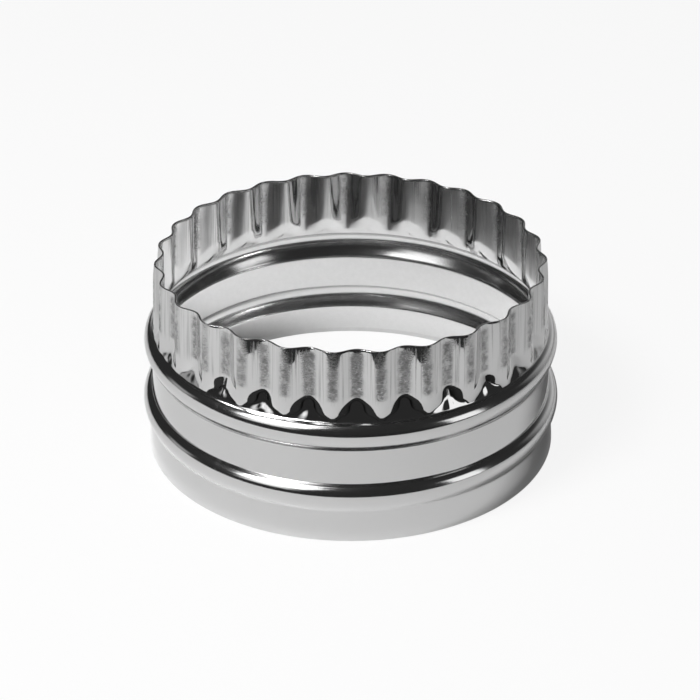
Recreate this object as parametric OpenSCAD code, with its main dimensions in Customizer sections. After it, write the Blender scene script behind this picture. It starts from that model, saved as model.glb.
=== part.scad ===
// Double-sided pastry cutter: one ring of sheet steel with a plain cutting edge
// at the bottom, a fluted cutting edge at the top and two stiffening beads between.
// The ring stands on the plain edge, with its axis on Z and its base at Z = 0.

/* [Ring] */
// Outside diameter at the plain cutting edge
cutter_d = 80; // [50:1:110]
// Overall height, from the plain edge to the fluted edge
cutter_h = 38.5; // [33:0.5:46]
// Thickness of the sheet
sheet_t = 0.4; // [0.3:0.05:0.6]

/* [Plain wall] */
// Height of the plain wall, from the plain edge to the lower bead
plain_wall_h = 7.4; // [4:0.1:10]
// How much the radius shrinks from the plain edge to the top of the plain wall
plain_wall_taper = 0.45; // [0:0.05:1]

/* [Lower bead] */
// How far the lower bead stands out from the top of the plain wall
lower_bead_out = 1.15; // [0.8:0.05:1.6]
// Height of the lower bead under its widest line
lower_bead_below_h = 2.25; // [1.8:0.05:2.8]
// Height of the lower bead over its widest line
lower_bead_above_h = 2.15; // [1.8:0.05:2.8]

/* [Middle wall] */
// Height of the wall between the two beads
middle_wall_h = 7.3; // [4:0.1:10]
// How much smaller the radius of the middle wall is than the top of the plain wall
middle_wall_in = 0.65; // [0.3:0.05:0.9]

/* [Upper bead] */
// How far the upper bead stands out from the middle wall
upper_bead_out = 1.1; // [0.7:0.05:1.6]
// Height of the upper bead under its widest line
upper_bead_below_h = 3; // [2:0.05:4]
// Height of the upper bead over its widest line
upper_bead_above_h = 2.2; // [1.8:0.05:2.8]
// How much smaller the radius of the bead's top crease is than the middle wall
neck_in = 0.2; // [0:0.05:0.5]

/* [Flutes] */
// Number of flutes round the ring
flute_count = 27; // [18:1:34]
// Depth of a flute, from its outermost line to its innermost line
flute_depth = 1.45; // [0.8:0.05:2]
// How far the flutes' outermost lines, at the fluted edge, lie inside the bead's top crease
flute_in = 1.05; // [0.8:0.05:1.6]
// Inward lean of the fluted wall
flute_lean = 2.2; // [0:0.1:3]
// Height over which a flute runs out above the bead's top crease
runout_h = 3.7; // [2.5:0.1:5]
// Direction of one flute's outermost line, counted from the X axis
flute_turn = 11.7; // [0:0.1:13]

/* [Seam] */
// Width of the weld that closes the strip into a ring
seam_w = 0.8; // [0.5:0.1:1.5]
// Direction of the weld, counted from the X axis
seam_turn = 231.7; // [180:0.1:270]

/* [Hidden] */
$fn = 96;
// Straight steps in one arc of a bead, and in the outline of one flute
arc_steps = 8;
flute_steps = 12;
// How far a cutting body reaches past the face that it cuts
overshoot = 1;

plain_edge_r = cutter_d / 2;
plain_top_r = plain_edge_r - plain_wall_taper;
lower_bead_r = plain_top_r + lower_bead_out;
middle_wall_r = plain_top_r - middle_wall_in;
upper_bead_r = middle_wall_r + upper_bead_out;
neck_r = middle_wall_r - neck_in;
crest_r = neck_r - flute_in;

// Heights of the creases and of the beads' widest lines
lower_bead_z = plain_wall_h + lower_bead_below_h;
middle_wall_z = lower_bead_z + lower_bead_above_h;
upper_crease_z = middle_wall_z + middle_wall_h;
upper_bead_z = upper_crease_z + upper_bead_below_h;
neck_z = upper_bead_z + upper_bead_above_h;
runout_z = neck_z + runout_h;

// The fluted wall leans inward, so a section lower down is the edge's section enlarged
function flute_scale(z) = 1 + (cutter_h - z) * tan(flute_lean) / crest_r;

// Cone that the flutes run out on: the flutes' innermost lines meet it at its top
runout_r = (crest_r - flute_depth) * flute_scale(runout_z);
runout_tilt = atan((neck_r - runout_r) / runout_h);

// Radius of the arc that leaves a bead's widest line upright and ends h away at a crease
function bead_arc_r(out, h) = (out * out + h * h) / (2 * out);

// Arcs of the two beads, under and over their widest lines
lower_below_r = bead_arc_r(lower_bead_out, lower_bead_below_h);
lower_above_r = bead_arc_r(lower_bead_r - middle_wall_r, lower_bead_above_h);
upper_below_r = bead_arc_r(upper_bead_out, upper_bead_below_h);
upper_above_r = bead_arc_r(upper_bead_r - neck_r, upper_bead_above_h);

// Angle at which an arc, inset from the outer face, meets the equally inset wall
function wall_angle(widest_r, arc_r, wall_r, inset) =
    acos((wall_r - widest_r + arc_r - inset) / (arc_r - inset));

// Angle at which the upper bead's top arc, inset, meets the equally inset cone
function cone_angle(inset) =
    let (
        reach = (neck_r - upper_bead_r + upper_above_r) * cos(runout_tilt)
            + (neck_z - upper_bead_z) * sin(runout_tilt) - inset
    )
    runout_tilt + acos(reach / (upper_above_r - inset));

// Points of one bead, from its bottom crease to its top crease
function bead(widest_r, widest_z, below_r, above_r, below_angle, above_angle, inset) =
    [for (i = [-arc_steps : arc_steps])
        let (
            arc_r = i < 0 ? below_r : above_r,
            turn = (i < 0 ? below_angle : above_angle) * i / arc_steps
        )
        [widest_r - arc_r + (arc_r - inset) * cos(turn), widest_z + (arc_r - inset) * sin(turn)]];

// Half section through the ring, from the plain edge up to the cone. The cone goes on past
// the flutes' innermost lines, so that its end lies inside the fluted body.
function ring_outline(inset, floor_z) =
    let (
        cone_h = runout_h + flute_depth / 2 / tan(runout_tilt),
        cone_r = neck_r - inset / cos(runout_tilt) - cone_h * tan(runout_tilt)
    )
    concat(
        [
            [0, floor_z],
            [plain_edge_r - inset - plain_wall_taper * floor_z / plain_wall_h, floor_z]
        ],
        bead(lower_bead_r, lower_bead_z, lower_below_r, lower_above_r,
            wall_angle(lower_bead_r, lower_below_r, plain_top_r, inset),
            wall_angle(lower_bead_r, lower_above_r, middle_wall_r, inset), inset),
        bead(upper_bead_r, upper_bead_z, upper_below_r, upper_above_r,
            wall_angle(upper_bead_r, upper_below_r, middle_wall_r, inset),
            cone_angle(inset), inset),
        [[cone_r, neck_z + cone_h], [0, neck_z + cone_h]]
    );

// One point of the fluted edge's outline. The inset is measured square to the outer face,
// so that the wall keeps its thickness.
function flute_point(angle, inset) =
    let (
        phase = flute_count * (angle - flute_turn),
        r = crest_r - flute_depth * (1 - cos(phase)) / 2,
        slope = -flute_depth * flute_count * sin(phase) / 2,
        outward = [cos(angle), sin(angle)],
        along = [-sin(angle), cos(angle)]
    )
    r * outward - inset * (r * outward - slope * along) / norm([r, slope]);

module flute_section(inset) {
    point_count = flute_count * flute_steps;
    polygon([for (i = [0 : point_count - 1]) flute_point(360 * i / point_count, inset)]);
}

// Solid inside the fluted face, between two heights
module fluted_body(inset, low_z, high_z) {
    translate([0, 0, low_z])
        linear_extrude(height = high_z - low_z, scale = flute_scale(high_z) / flute_scale(low_z))
            scale(flute_scale(low_z)) flute_section(inset);
}

// Everything inside the outer face, or inside the inner face where the inset is one sheet
module ring_body(inset, floor_z, top_z) {
    rotate_extrude() polygon(ring_outline(inset, floor_z));
    fluted_body(inset, upper_bead_z, top_z);
}

module closed_ring() {
    difference() {
        ring_body(0, 0, cutter_h);
        ring_body(sheet_t, -overshoot, cutter_h + overshoot);
    }
}

// Slot in which the strip's two ends face each other
module seam_slot() {
    inner_r = crest_r - flute_depth - sheet_t - overshoot;
    rotate(seam_turn)
        translate([inner_r, -seam_w / 2, -overshoot])
            cube([lower_bead_r + overshoot - inner_r, seam_w, cutter_h + 2 * overshoot]);
}

module cutter_band() {
    color("silver") difference() {
        closed_ring();
        seam_slot();
    }
}

module seam_weld() {
    color("lightgray") intersection() {
        closed_ring();
        seam_slot();
    }
}

cutter_band();
seam_weld();
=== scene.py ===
"""Double-sided pastry cutter: one ring of bright steel sheet, standing on its plain cutting edge.

The sheet's outer face is worked out as a function of the direction round the ring and of the place up the
section. The inner face is the same surface set back by the sheet's thickness, and two rounded edges join
them.
"""
import math

import bpy
import numpy as np
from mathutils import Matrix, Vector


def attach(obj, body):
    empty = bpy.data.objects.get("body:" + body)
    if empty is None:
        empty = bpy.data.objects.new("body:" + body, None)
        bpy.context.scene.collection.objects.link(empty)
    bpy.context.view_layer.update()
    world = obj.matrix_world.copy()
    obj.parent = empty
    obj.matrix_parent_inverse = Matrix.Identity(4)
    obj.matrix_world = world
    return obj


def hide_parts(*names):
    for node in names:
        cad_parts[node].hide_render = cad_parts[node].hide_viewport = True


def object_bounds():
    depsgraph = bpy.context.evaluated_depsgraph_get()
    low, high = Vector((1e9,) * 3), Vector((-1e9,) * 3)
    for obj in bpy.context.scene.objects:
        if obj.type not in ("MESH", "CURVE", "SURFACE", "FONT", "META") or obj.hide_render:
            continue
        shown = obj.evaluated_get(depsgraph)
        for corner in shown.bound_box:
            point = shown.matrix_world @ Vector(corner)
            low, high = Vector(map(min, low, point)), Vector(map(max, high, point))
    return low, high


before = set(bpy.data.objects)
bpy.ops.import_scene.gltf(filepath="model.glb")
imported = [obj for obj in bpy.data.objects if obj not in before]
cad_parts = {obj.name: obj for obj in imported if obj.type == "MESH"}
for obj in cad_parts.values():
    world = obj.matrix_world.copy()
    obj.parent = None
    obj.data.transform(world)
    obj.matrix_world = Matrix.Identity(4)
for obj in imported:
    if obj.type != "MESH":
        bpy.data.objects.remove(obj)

MM = 0.001
CAD_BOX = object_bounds()

# Sizes of the ring, in millimetres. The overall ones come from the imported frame.
RING_H = CAD_BOX[1].z / MM
BEAD_R = min(-CAD_BOX[0].x, -CAD_BOX[0].y, CAD_BOX[1].x, CAD_BOX[1].y) / MM
SHEET = 0.4
EDGE_ROUND = 0.06

# The rolled section from the plain edge up, as heights and the sine of the wall's lean there. The lean is
# positive where the wall comes in towards the axis with height, and it changes evenly between two heights.
PLAIN_WALL = ((0, 0.068), (5.9, 0.068))
LOWER_BEAD = ((6.4, -0.46), (6.9, -0.49), (8.0, -0.37), (8.9, -0.15), (9.5, 0), (11.4, 0.77), (11.78, 0.975))
MIDDLE_WALL = ((11.9, 0.05), (18.3, 0.05))
UPPER_BEAD = ((19.0, -0.59), (20.4, -0.4), (21.7, -0.2), (22.2, 0), (24.0, 0.72), (24.4, 0.975))
FLUTED_WALL = ((24.7, 0.16), (25.1, 0.04), (RING_H, 0.04))
# Leans between which the sheet counts as stretched by the beads' rollers
STRETCHED_LEAN = (0.08, 0.35)

# The flutes, and the power that shapes their wave at the rim and at their foot
FLUTES = 27
FLUTE_TURN = math.radians(11.7)
FLUTE_DEPTH = 1.54
WAVE_POWER = (0.97, 0.62)

# The crimping rollers' ends press a pocket at the foot of each innermost line, with narrow stems between the
# pockets. At its foot a pocket would still have FOOT_SHARE of the flute's depth, but a step rises out to the
# bead there, from FOOT_STARTS_BELOW the foot to FOOT_ENDS_ABOVE it, and FOOT_MIDDLE_HIGHER than that in the
# pocket's middle. The round at the pocket's top is in shares of its height.
POCKET_FOOT_Z = 24.35
POCKET_TOP_Z = 28.8
POCKET_TOP_CHANCE = 0.22
POCKET_EDGE_ROUND = 0.04
FOOT_SHARE = 0.24
FOOT_STARTS_BELOW = 0.25
FOOT_ENDS_ABOVE = 1.2
FOOT_MIDDLE_HIGHER = 1.5

# How the pockets' upper edges fall towards the stems, in shares of a pocket's height, and the places across
# the flutes where they fall more steeply and where they end
EDGE_FALL = 0.45
EDGE_STEEP_FALL = 0.7
EDGE_STEEP_PLACE = 0.4
STEM_PLACES = (0.08, 0.2)
STEM_SHARE = 0.04

# Inward bend of the outermost lines next to the rim
CREST_BEND = 0.19
CREST_BEND_H = 3.4

# Stripes that the crimping rollers rub: their half widths in shares of half a flute, the chance in these, and
# the heights between which they begin and end. The outermost lines are rubbed less near the rim, and less
# inside.
INNER_STRIPE = 0.25
INNER_STRIPE_CHANCE = 0.05
INNER_STRIPE_FOOT = (28.6, 29.2)
INNER_STRIPE_END = (37.3, 38.0)
OUTER_STRIPE = 0.28
OUTER_STRIPE_NARROWER_OUTSIDE = 0.06
OUTER_STRIPE_CHANCE = 0.04
OUTER_STRIPE_FOOT = (28.2, 29.2)
RIM_RUBBED_LESS = 0.35
RIM_RUBBED_LESS_Z = (34.3, 35.8)
INSIDE_RUBBED = 0.55
INSIDE_FILM = 0.1

# The weld that closes the strip, at an innermost line of a flute. The walls lie about WALL_IN inside the
# beads.
SEAM_TURN = math.radians(231.7)
SEAM_W = 0.8
WALL_IN = 1

# The sheet's grid. Up to the pockets, a row turns by no more than ROW_TURN degrees and rises by no more than
# ROW_WALL_H. Closer rows run through the pockets and a little past them. The angles of a quarter round's
# corners and of the edges that look sharp are in degrees too.
FINE_ROWS = 7701
ROW_TURN = 8
ROW_WALL_H = 3
POCKET_ROW_H = 0.25
POCKET_ROWS_PAST = 0.5
ROW_GAP = 0.4
FLUTE_ROWS = 6
BEND_ROWS = 8
FLUTE_COLUMNS = 16
WELD_COLUMNS = 3
EDGE_CORNERS = (30, 60, 90)
SHARP_ANGLE = 50


def step(x, low, high):
    """Smooth step from 0 at low to 1 at high: t^2 (3 - 2t)."""
    t = np.clip((x - low) / (high - low), 0, 1)
    return t * t * (3 - 2 * t)


def section():
    """Radius, height and lean of the outer face along a flute's outermost line, from the plain edge up.

    The radius is the integral of -lean / sqrt(1 - lean^2) over the height, moved so that the widest line has
    the bead's radius. The last rows go over the flutes and then over the bend next to the rim.
    """
    knots = np.array(PLAIN_WALL + LOWER_BEAD + MIDDLE_WALL + UPPER_BEAD + FLUTED_WALL)
    fine_z = np.linspace(0, RING_H, FINE_ROWS)
    fine_lean = np.interp(fine_z, knots[:, 0], knots[:, 1])
    slope = -fine_lean / np.sqrt(1 - fine_lean ** 2)
    fine_r = np.append(0, np.cumsum((slope[1:] + slope[:-1]) / 2 * np.diff(fine_z)))
    fine_r += BEAD_R - fine_r.max()

    # The last knot is the rim, and the one before it is where the fluted wall becomes straight
    rolled = knots[:-1]
    turning = np.abs(np.diff(np.degrees(np.arcsin(rolled[:, 1])))) / ROW_TURN
    parts = np.ceil(np.maximum(turning, np.diff(rolled[:, 0]) / ROW_WALL_H)).astype(int)
    spans = zip(rolled[:-1, 0], rolled[1:, 0], parts)
    z = [np.linspace(low, high, count, endpoint=False) for low, high, count in spans]
    pocket_rows_end = POCKET_TOP_Z + POCKET_ROWS_PAST
    z.append(np.arange(rolled[-1, 0], pocket_rows_end, POCKET_ROW_H))
    z.append(np.linspace(pocket_rows_end + ROW_GAP, RING_H - CREST_BEND_H, FLUTE_ROWS))
    z.append(np.linspace(RING_H - CREST_BEND_H + ROW_GAP, RING_H - EDGE_ROUND, BEND_ROWS))
    z = np.concatenate(z)
    return np.stack([np.interp(z, fine_z, fine_r), z, np.interp(z, fine_z, fine_lean)], 1)


def flute_place(turn):
    """Place across the flutes, and the number of the innermost line that it belongs to.

    The place is 0 on an outermost line and 1 on an innermost line: 2 |x - round(x)|, where x counts the
    flutes from the one at FLUTE_TURN.
    """
    pitch = FLUTES * (turn - FLUTE_TURN) / (2 * math.pi)
    return 2 * np.abs(pitch - np.round(pitch)), np.floor(pitch).astype(int) % FLUTES


# Chance between -1 and 1 for each flute: one row each for the pocket's top and for the two stripes' widths
TOP_CHANCE, INNER_CHANCE, OUTER_CHANCE = np.random.default_rng(27).uniform(-1, 1, (3, FLUTES))


def pocket_top(place, number):
    """Height of a pocket's upper edge.

    Its share of the pocket's height is 1 on the innermost line. It falls evenly with the place, then more
    steeply, and a smooth step takes it down to STEM_SHARE on the stems.
    """
    top = POCKET_TOP_Z + POCKET_TOP_CHANCE * TOP_CHANCE[number]
    share = 1 - EDGE_FALL * (1 - place) - EDGE_STEEP_FALL * np.clip(EDGE_STEEP_PLACE - place, 0, None)
    share = share * (STEM_SHARE + (1 - STEM_SHARE) * step(place, *STEM_PLACES))
    return POCKET_FOOT_Z + (top - POCKET_FOOT_Z) * share


def outer_face(turn, outline):
    """The outer face on a grid of directions and section rows, as x, y, z in millimetres.

    A flute takes depth * w * fade off the radius. The wave w is 0 on an outermost line and 1 on an innermost
    line: w = (1 - c)^p, with c = cos(phase / 2)^2 and the phase pi times the place. The power p falls with
    the cube of the way down from the rim, so that the outermost lines become stems.
    In a pocket, fade runs in a straight line from 1 at its top to FOOT_SHARE at its foot, with a short round
    at the top. A smooth step takes it to 0 at the foot. The step ends higher towards the innermost line, by
    place^4, so that the pocket's foot slopes more gently in its middle.
    Next to the rim the outermost lines bend in by bend * t^1.5 * c^3.5, with t from 0 at the bend's foot to
    1 at the rim.
    """
    place, number = (v[:, None] for v in flute_place(turn))
    r, z = outline[None, :, 0], outline[None, :, 1]
    c = (1 + np.cos(math.pi * place)) / 2
    high, low = WAVE_POWER
    down = np.clip((RING_H - z) / (RING_H - POCKET_FOOT_Z), 0, 1)
    w = (1 - c) ** (high + (low - high) * down ** 3)

    t = (z - POCKET_FOOT_Z) / (pocket_top(place, number) - POCKET_FOOT_Z)
    fade = 0.5 * (t + 1 - np.sqrt((t - 1) ** 2 + POCKET_EDGE_ROUND ** 2))
    fade = FOOT_SHARE + (1 - FOOT_SHARE) * np.clip(fade, 0, 1)
    foot_end = POCKET_FOOT_Z + FOOT_ENDS_ABOVE + FOOT_MIDDLE_HIGHER * place ** 4
    fade = fade * step(z, POCKET_FOOT_Z - FOOT_STARTS_BELOW, foot_end)

    bend = CREST_BEND * np.clip(1 - (RING_H - z) / CREST_BEND_H, 0, 1) ** 1.5 * c ** 3.5
    radius = r - FLUTE_DEPTH * w * fade - bend
    return np.stack([radius * np.cos(turn)[:, None], radius * np.sin(turn)[:, None], z + 0 * radius], 2)


def scuffing(turn, z, outside):
    """How scuffed the sheet is, from 0 to 1: stripes along the outermost and innermost lines.

    Across a stripe it is exp(-(d / half width)^4), where d is the distance from the stripe's line in shares
    of half a flute. Inside the ring only the outermost lines are rubbed, and less, over a thin even film.
    """
    place, number = (v[:, None] for v in flute_place(turn))
    half_w = INNER_STRIPE + INNER_STRIPE_CHANCE * INNER_CHANCE[number]
    inner_line = np.exp(-((1 - place) / half_w) ** 4) * outside
    inner_line = inner_line * step(z, *INNER_STRIPE_FOOT) * (1 - step(z, *INNER_STRIPE_END))
    half_w = OUTER_STRIPE - OUTER_STRIPE_NARROWER_OUTSIDE * outside
    half_w = half_w + OUTER_STRIPE_CHANCE * OUTER_CHANCE[number]
    outer_line = np.exp(-(place / half_w) ** 4) * step(z, *OUTER_STRIPE_FOOT)
    outer_line = outer_line * (1 - RIM_RUBBED_LESS * outside * step(z, *RIM_RUBBED_LESS_Z))
    outer_line = outer_line * (INSIDE_RUBBED + (1 - INSIDE_RUBBED) * outside)
    return np.maximum(inner_line, outer_line) + INSIDE_FILM * (1 - outside)


def normals(grid):
    """Unit normals of a grid surface: the cross product of its differences along the two parameters."""
    n = np.cross(np.gradient(grid, axis=0), np.gradient(grid, axis=1))
    return n / np.linalg.norm(n, axis=2, keepdims=True)


def rolled_edge(near, far, lift):
    """The edge of the sheet between two faces: two quarter rounds, raised by lift times EDGE_ROUND."""
    corner = np.radians(EDGE_CORNERS)
    share = EDGE_ROUND / SHEET * (1 - np.cos(corner))
    height = EDGE_ROUND * np.sin(corner)
    share = np.concatenate([share, 1 - share[::-1]])[None, :, None]
    edge = near[:, None] * (1 - share) + far[:, None] * share
    edge[..., 2] += lift * np.concatenate([height, height[::-1]])
    return edge


def sheet_piece(name, first, last, columns):
    """A closed length of the strip between two directions: outer face, top edge, inner face and bottom edge.

    The inner face is the outer face moved by the sheet's thickness against its unit normals. The UV map
    sheet_mm gives the place on the sheet in millimetres: along the strip, and up it. The attributes scuff and
    stretched say how rubbed and how stretched the sheet is.
    """
    outline = section()
    pace = (last - first) / columns
    turn = first + pace * np.arange(-1, columns + 2)
    wide = outer_face(turn, outline)
    inward = normals(wide)[1:-1]
    outer = wide[1:-1]
    turn = turn[1:-1]
    inner = outer - SHEET * inward
    inner[..., 2] = np.clip(inner[..., 2], 0, RING_H - EDGE_ROUND)
    outer[:, 0, 2] = EDGE_ROUND
    inner[:, 0, 2] = EDGE_ROUND
    top = rolled_edge(outer[:, -1], inner[:, -1], 1)
    bottom = rolled_edge(inner[:, 0], outer[:, 0], -1)
    loop = np.concatenate([outer, top, inner[:, ::-1], bottom], 1)
    cols, rows = loop.shape[:2]
    index = np.arange(cols * rows).reshape(cols, rows)
    quads = np.stack([index[:-1], index[1:], np.roll(index[1:], -1, 1), np.roll(index[:-1], -1, 1)], 2)

    # The strip's two ends are closed by faces that run across the sheet's thickness
    half_edge = top.shape[1] // 2
    front = np.arange(-half_edge, outer.shape[1] + half_edge) % rows
    back = (2 * outer.shape[1] + top.shape[1] - 1 - front) % rows
    cap = np.stack([front[:-1], front[1:], back[1:], back[:-1]], 1)
    faces = np.concatenate([quads.reshape(-1, 4), index[0][cap], index[-1][cap][:, ::-1]])

    mesh = bpy.data.meshes.new(name)
    mesh.from_pydata((loop * MM).reshape(-1, 3), [], faces.tolist())
    mesh.set_sharp_from_angle(angle=math.radians(SHARP_ANGLE))
    mesh.polygons.foreach_set("use_smooth", np.ones(len(mesh.polygons), bool))
    along = np.broadcast_to(turn[:, None] * BEAD_R, loop.shape[:2])
    corner = np.empty(len(mesh.loops), int)
    mesh.loops.foreach_get("vertex_index", corner)
    uv = np.stack([along, loop[..., 2]], 2).reshape(-1, 2)[corner]
    mesh.uv_layers.new(name="sheet_mm").data.foreach_set("uv", uv.ravel())
    height = loop[..., 2]
    scuff = scuffing(turn, height, np.arange(rows) < outer.shape[1])
    stretched = step(np.interp(height, outline[:, 1], np.abs(outline[:, 2])), *STRETCHED_LEAN)
    for label, values in (("scuff", scuff), ("stretched", stretched)):
        mesh.attributes.new(label, "FLOAT", "POINT").data.foreach_set("value", values.ravel())
    piece = bpy.data.objects.new(name, mesh)
    bpy.context.scene.collection.objects.link(piece)
    return piece


half_seam = SEAM_W / 2 / (BEAD_R - WALL_IN)
seam_start = SEAM_TURN - half_seam
seam_end = SEAM_TURN + half_seam
band = sheet_piece("fluted_ring", seam_end, seam_start + 2 * math.pi, FLUTES * FLUTE_COLUMNS)
weld = sheet_piece("seam_weld_line", seam_start, seam_end, WELD_COLUMNS)


def linear(hex_colour):
    """An sRGB hex colour as linear red, green, blue and alpha."""
    s = np.array([int(hex_colour[i:i + 2], 16) for i in (1, 3, 5)]) / 255
    rgb = np.where(s <= 0.04045, s / 12.92, ((s + 0.055) / 1.055) ** 2.4)
    return (*rgb, 1.0)


def add(tree, kind, links=None, inputs=None, **settings):
    """Adds a node with its settings, links given sockets to its inputs, and sets given input values.

    Inputs go by name, or by number where several share a name. Math has its values at 0, 1 and 2. Map Range
    has the value at 0, the range from at 1 and 2, and the range to at 3 and 4. Mix has the factor at 0, its
    numbers at 2 and 3, and its colours at 6 and 7.
    """
    node = tree.nodes.new(kind)
    for key, value in settings.items():
        setattr(node, key, value)
    for socket, value in (inputs or {}).items():
        node.inputs[socket].default_value = value
    for socket, source in (links or {}).items():
        tree.links.new(source, node.inputs[socket])
    return node


def ranges(from_range, to_range=(0, 1)):
    """A Map Range node's limits, by their inputs' numbers."""
    return dict(enumerate((*from_range, *to_range), 1))


def new_material(name):
    """An empty node material."""
    made = bpy.data.materials.new(name)
    made.use_nodes = True
    made.node_tree.nodes.clear()
    return made


# Colours of the steel where it is polished and where it is rubbed matt
POLISHED_STEEL = "#cbcbcb"
RUBBED_STEEL = "#868686"
# Roughness that the stretched sheet of the beads has over the polished walls
STRETCHED_DULLER = 0.09
# The stripes' strength between two values of the scratches' and patches' noises together
STRIPE_NOISE = (0.8, 1.18)
STRIPE_STRENGTH = (0.4, 1.0)
# The draw lines' strength between two values of their noise, and the heights in millimetres where they begin
DRAW_NOISE = (0.48, 0.68)
DRAW_STRENGTH = (0.0, 0.45)
DRAWN_FROM = (27.5, 29.5)
# Full heights of the bumps, in metres
PEEL_BUMP = 0.000005
SCORED_BUMP = 0.00002


def rolled_stainless(name, polished, rubbed):
    """Cold-rolled stainless sheet with a bright annealed finish: it mirrors its surroundings with soft edges.

    The crimping rollers leave matt stripes with fine cross scratches along the flutes, so these look
    mid-grey. The rolled beads have the faint unevenness of stretched sheet, which breaks up the ends of their
    highlights. polished and rubbed are the roughnesses of the bright sheet and of the stripes.
    """
    made = new_material(name)
    tree = made.node_tree
    sheet = add(tree, "ShaderNodeUVMap", uv_map="sheet_mm").outputs[0]
    scuff = add(tree, "ShaderNodeAttribute", attribute_name="scuff").outputs["Fac"]

    # Cross scratches 0.2 mm apart and about 0.6 mm long, coarser than the real ones so that they show
    across = add(tree, "ShaderNodeMapping", {"Vector": sheet}, {"Scale": (1.6, 5.0, 1.0)})
    scratches = add(tree, "ShaderNodeTexNoise", {"Vector": across.outputs[0]}, {"Scale": 1.0, "Detail": 3.0})
    # Patches 1 to 2 mm wide, with speckle down to 0.1 mm, in which the rubbing was heavier or lighter
    patches = add(tree, "ShaderNodeTexNoise", {"Vector": sheet}, {"Scale": 0.8, "Detail": 4.0})
    uneven = add(tree, "ShaderNodeMath", {0: scratches.outputs[0], 1: patches.outputs[0]}, operation="ADD")
    strength = add(tree, "ShaderNodeMapRange", {0: uneven.outputs[0]}, ranges(STRIPE_NOISE, STRIPE_STRENGTH))
    stripes = add(tree, "ShaderNodeMath", {0: scuff, 1: strength.outputs[0]}, operation="MULTIPLY")

    # Draw lines up the fluted wall, 0.3 to 0.5 mm apart, which the crimping rollers leave all round
    upward = add(tree, "ShaderNodeMapping", {"Vector": sheet}, {"Scale": (2.6, 0.05, 1.0)})
    lines = add(tree, "ShaderNodeTexNoise", {"Vector": upward.outputs[0]}, {"Scale": 1.0, "Detail": 2.0})
    line = add(tree, "ShaderNodeMapRange", {0: lines.outputs[0]}, ranges(DRAW_NOISE, DRAW_STRENGTH))
    height = add(tree, "ShaderNodeSeparateXYZ", {0: sheet}).outputs[1]
    crimped = add(tree, "ShaderNodeMapRange", {0: height}, ranges(DRAWN_FROM))
    drawn = add(tree, "ShaderNodeMath", {0: line.outputs[0], 1: crimped.outputs[0]}, operation="MULTIPLY")
    marks = {0: stripes.outputs[0], 1: drawn.outputs[0]}
    worn = add(tree, "ShaderNodeMath", marks, operation="MAXIMUM").outputs[0]

    # The sheet loses some of its mirror finish where the rollers stretched it into the beads
    stretched = add(tree, "ShaderNodeAttribute", attribute_name="stretched").outputs["Fac"]
    finish = {1: STRETCHED_DULLER, 2: polished}
    bright = add(tree, "ShaderNodeMath", {0: stretched}, finish, operation="MULTIPLY_ADD")
    roughness = add(tree, "ShaderNodeMapRange", {0: worn, 3: bright.outputs[0]}, {4: rubbed})
    steels = {6: linear(POLISHED_STEEL), 7: linear(RUBBED_STEEL)}
    colour = add(tree, "ShaderNodeMix", {0: worn}, steels, data_type="RGBA")

    # Orange peel of the stretched sheet, 0.3 mm wide, and the relief of the scratches
    peel = add(tree, "ShaderNodeTexNoise", {"Vector": sheet}, {"Scale": 3.3, "Detail": 1.5})
    grain = add(tree, "ShaderNodeMath", {0: stretched, 1: peel.outputs[0]}, operation="MULTIPLY")
    peeled = add(
        tree,
        "ShaderNodeBump",
        {"Height": grain.outputs[0]},
        {"Strength": 1.0, "Distance": PEEL_BUMP},
    )
    scored = add(tree, "ShaderNodeMath", {0: worn, 1: scratches.outputs[0]}, operation="MULTIPLY")
    bump = add(
        tree,
        "ShaderNodeBump",
        {"Height": scored.outputs[0], "Normal": peeled.outputs[0]},
        {"Strength": 1.0, "Distance": SCORED_BUMP},
    )
    shader = add(
        tree,
        "ShaderNodeBsdfPrincipled",
        {"Base Color": colour.outputs[2], "Roughness": roughness.outputs[0], "Normal": bump.outputs[0]},
        {"Metallic": 1.0},
    )
    add(tree, "ShaderNodeOutputMaterial", {"Surface": shader.outputs[0]})
    return made


sheet_steel = rolled_stainless("bright_rolled_stainless_steel", polished=0.04, rubbed=0.5)
weld_steel = rolled_stainless("dressed_weld_stainless_steel", polished=0.07, rubbed=0.42)
for piece, node, slot, steel in (
    (band, "cutter_band", "bright_steel", sheet_steel),
    (weld, "seam_weld", "weld_steel", weld_steel),
):
    piece.data.materials.append(steel)
    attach(piece, "root")
    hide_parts(node)


def stage_piece(name, corners, material, seen_by_camera=True):
    """A flat stage piece with the given corners in metres, faced in one material."""
    mesh = bpy.data.meshes.new(name)
    mesh.from_pydata(corners, [], [list(range(len(corners)))])
    mesh.materials.append(material)
    made = bpy.data.objects.new(name, mesh)
    made.visible_camera = seen_by_camera
    bpy.context.scene.collection.objects.link(made)
    return made


# How much of the floor's and the sky's look is plain white, for what the camera sees and for what the steel
# mirrors
FLOOR_WHITE = (0.9, 0.05)
SKY_WHITE = (1.0, 0.01)
PAPER = "#f6f6f6"
PLAIN_WHITE = "#fefefe"
# The steel mirrors a dark studio, and past the table's front edge a black card: painted shade that only the
# steel mirrors
DARK_STUDIO = "#2a2a2a"
PAINTED_SHADE_CARD = "#383838"

# Painted light: a glow on the paper, seen only in what the steel mirrors, stands in for the light that the
# steel
# throws there: a spot in the back of the ring, and a band next to its foot outside. Each fades between two
# radii, in metres, from its strength to nothing.
THROWN_SPOT = (0.006, 0.018, 0.0)
THROWN_SPOT_R = (0.012, 0.03)
THROWN_SPOT_STRENGTH = (0.35, 0.0)
THROWN_BAND_R = (0.04, 0.0425)
THROWN_BAND_STRENGTH = (0.05, 0.0)
FOOT_R = 0.0385


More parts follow.
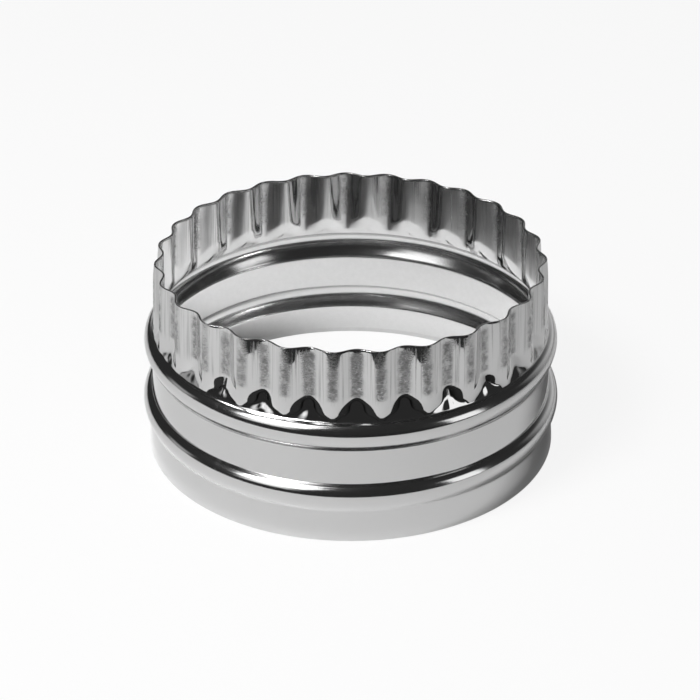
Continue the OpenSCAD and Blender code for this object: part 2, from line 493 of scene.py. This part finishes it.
def white_share(tree, camera_share, glossy_share):
    """Light Path's camera and transmission rays times one share, plus its glossy rays times another."""
    path = add(tree, "ShaderNodeLightPath").outputs
    rays = {0: path["Is Camera Ray"], 1: path["Is Transmission Ray"]}
    seen = add(tree, "ShaderNodeMath", rays, operation="ADD")
    direct = add(tree, "ShaderNodeMath", {0: seen.outputs[0]}, {1: camera_share}, operation="MULTIPLY")
    both = {0: path["Is Glossy Ray"], 2: direct.outputs[0]}
    return add(tree, "ShaderNodeMath", both, {1: glossy_share}, operation="MULTIPLY_ADD").outputs[0]


def white_paper():
    """Matt white paper, which the camera sees as nearly plain white, and which keeps the ring's shadow."""
    made = new_material("matt_white_paper")
    tree = made.node_tree
    matt = add(tree, "ShaderNodeBsdfDiffuse", inputs={"Color": linear(PAPER)})
    glow = add(tree, "ShaderNodeEmission", inputs={"Color": linear(PLAIN_WHITE), "Strength": 1.0})
    share = white_share(tree, *FLOOR_WHITE)
    both = add(tree, "ShaderNodeMixShader", {0: share, 1: matt.outputs[0], 2: glow.outputs[0]})

    # Painted light: an emission glow that only glossy rays see, drawn where the steel would throw light on
    # the paper
    place = add(tree, "ShaderNodeTexCoord").outputs["Object"]
    from_axis = add(tree, "ShaderNodeVectorMath", {0: place}, operation="LENGTH").outputs["Value"]
    from_spot = add(tree, "ShaderNodeVectorMath", {0: place}, {1: THROWN_SPOT}, operation="DISTANCE")
    band_fade = ranges(THROWN_BAND_R, THROWN_BAND_STRENGTH)
    foot_band = add(tree, "ShaderNodeMapRange", {0: from_axis}, band_fade)
    spot = add(
        tree,
        "ShaderNodeMapRange",
        {0: from_spot.outputs["Value"]},
        ranges(THROWN_SPOT_R, THROWN_SPOT_STRENGTH),
        interpolation_type="SMOOTHSTEP",
    )
    outside = add(tree, "ShaderNodeMath", {0: from_axis}, {1: FOOT_R}, operation="GREATER_THAN")
    thrown = add(tree, "ShaderNodeMix", {0: outside.outputs[0], 2: spot.outputs[0], 3: foot_band.outputs[0]})
    glossy = add(tree, "ShaderNodeLightPath").outputs["Is Glossy Ray"]
    strength = add(tree, "ShaderNodeMath", {0: thrown.outputs[0], 1: glossy}, operation="MULTIPLY")
    brightness = {"Strength": strength.outputs[0]}
    painted_caustic_glow = add(tree, "ShaderNodeEmission", brightness, {"Color": linear(PLAIN_WHITE)})
    lit = add(tree, "ShaderNodeAddShader", {0: both.outputs[0], 1: painted_caustic_glow.outputs[0]})
    add(tree, "ShaderNodeOutputMaterial", {"Surface": lit.outputs[0]})
    return made


def painted_shade_card():
    """Matt black card: painted shade that gives the steel its dark reflections past the table's front edge.
    """
    made = new_material("matt_black_card")
    tree = made.node_tree
    matt = add(tree, "ShaderNodeBsdfDiffuse", inputs={"Color": linear(PAINTED_SHADE_CARD)})
    add(tree, "ShaderNodeOutputMaterial", {"Surface": matt.outputs[0]})
    return made


# The floor, and a black flag just over it from the table's front edge on: painted shade for the steel's
# reflections.
# Only the steel sees the flag, and all these sizes are in metres.
FLOOR_R = 3
FLOOR_CORNERS = 96
TABLE_EDGE = 0.108
FLAG_HALF_W = 2
FLAG_LIFT = 0.0004
round_turn = np.linspace(0, 2 * math.pi, FLOOR_CORNERS, endpoint=False)
rim = np.stack([FLOOR_R * np.cos(round_turn), FLOOR_R * np.sin(round_turn), 0 * round_turn], 1).tolist()
stage_piece("floor", rim, white_paper())
flag_corners = [
    (-FLAG_HALF_W, -TABLE_EDGE, FLAG_LIFT),
    (-FLAG_HALF_W, -FLOOR_R, FLAG_LIFT),
    (FLAG_HALF_W, -FLOOR_R, FLAG_LIFT),
    (FLAG_HALF_W, -TABLE_EDGE, FLAG_LIFT),
]
flag = stage_piece("front_flag", flag_corners, painted_shade_card(), seen_by_camera=False)
flag.visible_shadow = False
flag.visible_diffuse = False

world = bpy.data.worlds.new("dark_studio")
bpy.context.scene.world = world
world.use_nodes = True
world.node_tree.nodes.clear()
dark = add(world.node_tree, "ShaderNodeBackground", inputs={"Color": linear(DARK_STUDIO)})
white = add(world.node_tree, "ShaderNodeBackground", inputs={"Color": linear(PLAIN_WHITE)})
sky_share = white_share(world.node_tree, *SKY_WHITE)
sky = add(world.node_tree, "ShaderNodeMixShader", {0: sky_share, 1: dark.outputs[0], 2: white.outputs[0]})
add(world.node_tree, "ShaderNodeOutputWorld", {"Surface": sky.outputs[0]})


def direction(azimuth, elevation):
    """Unit vector towards a place in the studio. Azimuth 0 is towards the camera and 90 is to its right."""
    a, e = math.radians(azimuth), math.radians(elevation)
    return np.array([math.sin(a) * math.cos(e), -math.cos(a) * math.cos(e), math.sin(e)])


def softbox(name, azimuth, elevation, distance, size, radiance, soft=0.2):
    """A rectangular lamp that faces the ring, and fades towards its edges over the share soft of its width.

    The angles are in degrees, and the distance and the size in metres. Its power is radiance * area * pi, so
    that its middle shows at that radiance.
    """
    light = bpy.data.lights.new(name, "AREA")
    light.shape = "RECTANGLE"
    light.size, light.size_y = size
    light.energy = radiance * size[0] * size[1] * math.pi
    light.use_nodes = True
    tree = light.node_tree
    tree.nodes.clear()
    spot = add(tree, "ShaderNodeNewGeometry").outputs["Parametric"]
    centred = add(tree, "ShaderNodeVectorMath", {0: spot}, {1: (0.5, 0.5, 0.0)}, operation="SUBTRACT")
    away = add(tree, "ShaderNodeVectorMath", {0: centred.outputs[0]}, operation="ABSOLUTE")
    axes = add(tree, "ShaderNodeSeparateXYZ", {0: away.outputs[0]})
    edge = add(tree, "ShaderNodeMath", {0: axes.outputs[0], 1: axes.outputs[1]}, operation="MAXIMUM")
    inward = ranges((0.5, 0.5 - soft))
    fall = add(tree, "ShaderNodeMapRange", {0: edge.outputs[0]}, inward, interpolation_type="SMOOTHSTEP")
    glow = add(tree, "ShaderNodeEmission", {"Strength": fall.outputs[0]})
    add(tree, "ShaderNodeOutputLight", {"Surface": glow.outputs[0]})
    made = bpy.data.objects.new(name, light)
    made.location = direction(azimuth, elevation) * distance
    made.rotation_mode = "QUATERNION"
    made.rotation_quaternion = (-made.location).to_track_quat("-Z", "Y")
    bpy.context.scene.collection.objects.link(made)
    return made


softbox("key_softbox", -50, 56, 0.6, (0.21, 0.19), 26.5)
softbox("left_panel", -58, 65, 0.8, (0.36, 0.34), 2.4, soft=0.06)
softbox("left_middle", -46, 48, 0.75, (0.5, 0.34), 2.2, soft=0.08)
softbox("left_tail", -45, 30, 0.8, (0.54, 0.38), 1.5, soft=0.4)
softbox("right_softbox", 61, 15, 1.0, (0.4, 0.7), 1.4, soft=0.16)
# This one is for the steel alone, so that it doesn't fill the ring's shadow on the paper
back_right = softbox("back_right_glow", 150, 5, 1.5, (3.4, 2.0), 0.68, soft=0.5)
back_right.visible_diffuse = False
softbox("back_left_glow", -162, 8, 1.5, (0.5, 0.9), 0.8, soft=0.3)
softbox("left_glow", -99, 8, 1.5, (0.7, 0.7), 0.42, soft=0.35)

# The camera, fitted to the photo's outlines of the rims, the beads and the plain edge. Its shift is in pixels
# of the photo.
PHOTO_W = 700
CAMERA_SHIFT = (-0.67, 0.5)
camera_data = bpy.data.cameras.new("camera")
camera_data.sensor_width = 36
camera_data.lens = 117.1
camera_data.shift_x = CAMERA_SHIFT[0] / PHOTO_W
camera_data.shift_y = CAMERA_SHIFT[1] / PHOTO_W
camera = bpy.data.objects.new("camera", camera_data)
camera.location = (0, -0.38716, 0.23845)
camera.rotation_euler = (math.radians(60.31), 0, 0)
bpy.context.scene.collection.objects.link(camera)
bpy.context.scene.camera = camera

view = bpy.context.scene.view_settings
view.view_transform = "Standard"
